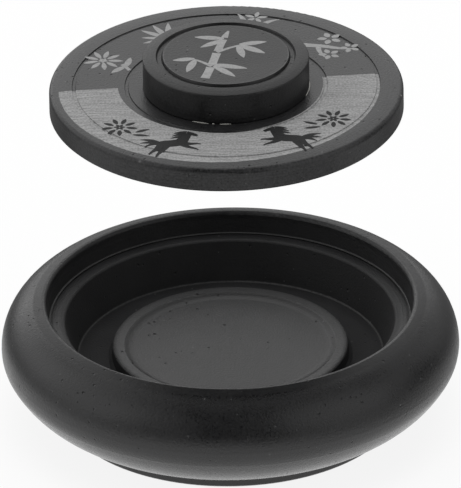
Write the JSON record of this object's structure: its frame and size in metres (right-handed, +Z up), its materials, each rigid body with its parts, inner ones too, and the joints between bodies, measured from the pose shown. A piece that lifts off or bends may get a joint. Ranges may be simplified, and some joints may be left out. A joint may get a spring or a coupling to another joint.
{
  "type": "ink stone",
  "caption": "Round stone ink stone: a fat-rimmed bowl with a raised grinding disc in a moat, and a flat round lid with a knob, held above its stepped seat.",
  "frame": {"origin": "centre of the foot ring's resting face, on the axis of the bowl", "axes": "+Z up along the axis of the bowl, lid and knob; -Y towards the viewer in the picture, so the lid's etched half faces -Y"},
  "size_m": [0.127, 0.127, 0.1097],
  "materials": {
    "bowl_stone": "satin",
    "lid_stone": "satin",
    "knob_stone": "satin"
  },
  "bodies": {
    "base": {"bowl": "bowl_stone"},
    "lid_with_knob": {"lid": "lid_stone", "knob": "knob_stone"}
  },
  "joints": [
    {"name": "lid_lift", "type": "slide", "parent": "base", "child": "lid_with_knob", "axis": [0, 0, 1], "range_m": [-0.0656, 0.03]}
  ]
}
